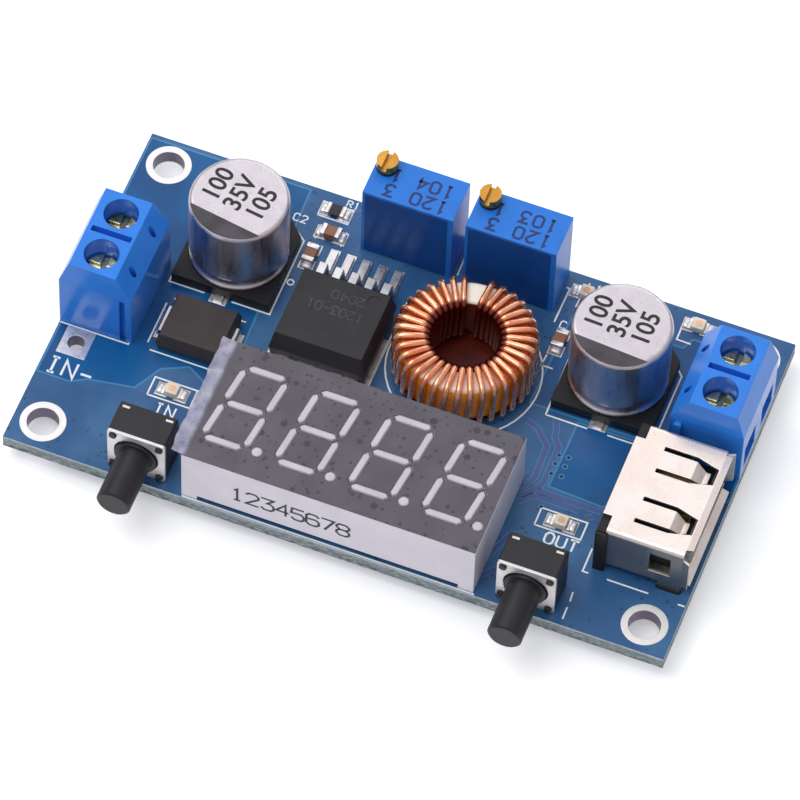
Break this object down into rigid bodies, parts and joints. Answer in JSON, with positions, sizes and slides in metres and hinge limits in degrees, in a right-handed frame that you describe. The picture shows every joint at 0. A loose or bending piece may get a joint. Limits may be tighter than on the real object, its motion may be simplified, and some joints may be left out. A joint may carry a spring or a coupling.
{
  "type": "buck converter module",
  "caption": "Step-down power converter board with screw terminals, a wound ring inductor, a digital meter, push buttons, adjusting screws and a USB outlet.",
  "frame": {"origin": "centre of the rectangle of four mounting holes, on the underside of the circuit board", "axes": "+X along the board from the input terminal to the output terminal, +Y from the display and push buttons towards the trimmers, +Z out of the component side"},
  "size_m": [0.0684, 0.0438, 0.0148],
  "materials": {
    "solder_mask": "glossy blue solder mask over glass-fibre epoxy",
    "tin": "tin plated",
    "terminal_blue": "glossy moulded",
    "clamp_screw": "zinc plated, slightly yellow",
    "cage_steel": "zinc plated",
    "can_aluminium": "satin drawn can",
    "black_plastic": "moulded",
    "core_paint": "coated powder-iron core",
    "copper_wire": "clear enamel on copper",
    "moulded_epoxy": "fine matte moulding",
    "diode_epoxy": "fine matte moulding",
    "display_white": "moulded",
    "display_grey": "printed face",
    "segment_resin": "cast diffusing resin",
    "circuit_plate": "bare laminate",
    "clear_film": "thin clear protective film",
    "button_black": "moulded",
    "cover_steel": "stamped",
    "nickel": "bright nickel plated sheet",
    "gold": "gold plated",
    "trimmer_blue": "moulded",
    "seal_rubber": "soft",
    "brass": "turned",
    "lamp_resin": "clear moulded",
    "chip_black": "glazed",
    "chip_tan": "sintered ceramic"
  },
  "bodies": {
    "board_assembly": {"circuit_board": "solder_mask", "mounting_rings": "tin", "solder_pads": "tin", "solder_joints": "tin", "input_terminal_housing": "terminal_blue", "input_terminal_strips": "tin", "output_terminal_housing": "terminal_blue", "output_terminal_strips": "tin", "input_capacitor_can": "can_aluminium", "input_capacitor_base": "black_plastic", "input_capacitor_leads": "tin", "output_capacitor_can": "can_aluminium", "output_capacitor_base": "black_plastic", "output_capacitor_leads": "tin", "inductor_core": "core_paint", "inductor_winding": "copper_wire", "regulator_body": "moulded_epoxy", "regulator_lead_frame": "tin", "diode_body": "diode_epoxy", "diode_leads": "tin", "display_housing": "display_white", "display_face": "display_grey", "display_segments": "segment_resin", "display_circuit_plate": "circuit_plate", "display_pins": "tin", "display_film": "clear_film", "left_button_case": "button_black", "left_button_cover": "cover_steel", "left_button_dome": "cover_steel", "left_button_terminals": "tin", "right_button_case": "button_black", "right_button_cover": "cover_steel", "right_button_dome": "cover_steel", "right_button_terminals": "tin", "usb_shell": "nickel", "usb_insulator": "black_plastic", "usb_contacts": "gold", "voltage_trimmer_housing": "trimmer_blue", "voltage_trimmer_seal": "seal_rubber", "voltage_trimmer_pins": "tin", "current_trimmer_housing": "trimmer_blue", "current_trimmer_seal": "seal_rubber", "current_trimmer_pins": "tin", "status_lamps": "lamp_resin", "chip_resistors": "chip_black", "chip_capacitors": "chip_tan", "underside_chips": "moulded_epoxy", "underside_chip_leads": "tin"},
    "left_plunger": {"left_button_plunger": "button_black"},
    "right_plunger": {"right_button_plunger": "button_black"},
    "voltage_adjuster": {"voltage_trimmer_screw": "brass"},
    "current_adjuster": {"current_trimmer_screw": "brass"},
    "input_clamp_screw_front": {"input_screw_front": "clamp_screw"},
    "input_wire_cage_front": {"input_cage_front": "cage_steel"},
    "input_clamp_screw_back": {"input_screw_back": "clamp_screw"},
    "input_wire_cage_back": {"input_cage_back": "cage_steel"},
    "output_clamp_screw_front": {"output_screw_front": "clamp_screw"},
    "output_wire_cage_front": {"output_cage_front": "cage_steel"},
    "output_clamp_screw_back": {"output_screw_back": "clamp_screw"},
    "output_wire_cage_back": {"output_cage_back": "cage_steel"}
  },
  "joints": [
    {"name": "left_button_press", "type": "slide", "parent": "board_assembly", "child": "left_plunger", "axis": [0, 1, 0], "range_m": [0, 0.00025], "stiffness_N_per_m": 400, "springref_m": -0.002},
    {"name": "right_button_press", "type": "slide", "parent": "board_assembly", "child": "right_plunger", "axis": [0, 1, 0], "range_m": [0, 0.00025], "stiffness_N_per_m": 400, "springref_m": -0.002},
    {"name": "voltage_trimmer_turn", "type": "hinge", "parent": "board_assembly", "child": "voltage_adjuster", "pos_m": [-0.0085, 0.0177, 0.0115], "axis": [0, 0, 1], "continuous": true},
    {"name": "current_trimmer_turn", "type": "hinge", "parent": "board_assembly", "child": "current_adjuster", "pos_m": [0.0023, 0.0177, 0.0115], "axis": [0, 0, 1], "continuous": true},
    {"name": "input_screw_front_turn", "type": "hinge", "parent": "board_assembly", "child": "input_clamp_screw_front", "pos_m": [-0.0307, -0.00219, 0.0087], "axis": [0, 0, 1], "range_deg": [-1260, 0]},
    {"name": "input_cage_front_rise", "type": "slide", "parent": "board_assembly", "child": "input_wire_cage_front", "axis": [0, 0, 1], "range_m": [0, 0.00175]},
    {"name": "input_screw_back_turn", "type": "hinge", "parent": "board_assembly", "child": "input_clamp_screw_back", "pos_m": [-0.0307, 0.00289, 0.0087], "axis": [0, 0, 1], "range_deg": [-1260, 0]},
    {"name": "input_cage_back_rise", "type": "slide", "parent": "board_assembly", "child": "input_wire_cage_back", "axis": [0, 0, 1], "range_m": [0, 0.00175]},
    {"name": "output_screw_front_turn", "type": "hinge", "parent": "board_assembly", "child": "output_clamp_screw_front", "pos_m": [0.0307, 0.00511, 0.0087], "axis": [0, 0, 1], "range_deg": [-1260, 0]},
    {"name": "output_cage_front_rise", "type": "slide", "parent": "board_assembly", "child": "output_wire_cage_front", "axis": [0, 0, 1], "range_m": [0, 0.00175]},
    {"name": "output_screw_back_turn", "type": "hinge", "parent": "board_assembly", "child": "output_clamp_screw_back", "pos_m": [0.0307, 0.01019, 0.0087], "axis": [0, 0, 1], "range_deg": [-1260, 0]},
    {"name": "output_cage_back_rise", "type": "slide", "parent": "board_assembly", "child": "output_wire_cage_back", "axis": [0, 0, 1], "range_m": [0, 0.00175]}
  ],
  "couplings": [
    {"joint": "input_screw_front_turn", "follows": "input_cage_front_rise", "rad_per_m": -12566},
    {"joint": "input_screw_back_turn", "follows": "input_cage_back_rise", "rad_per_m": -12566},
    {"joint": "output_screw_front_turn", "follows": "output_cage_front_rise", "rad_per_m": -12566},
    {"joint": "output_screw_back_turn", "follows": "output_cage_back_rise", "rad_per_m": -12566}
  ]
}
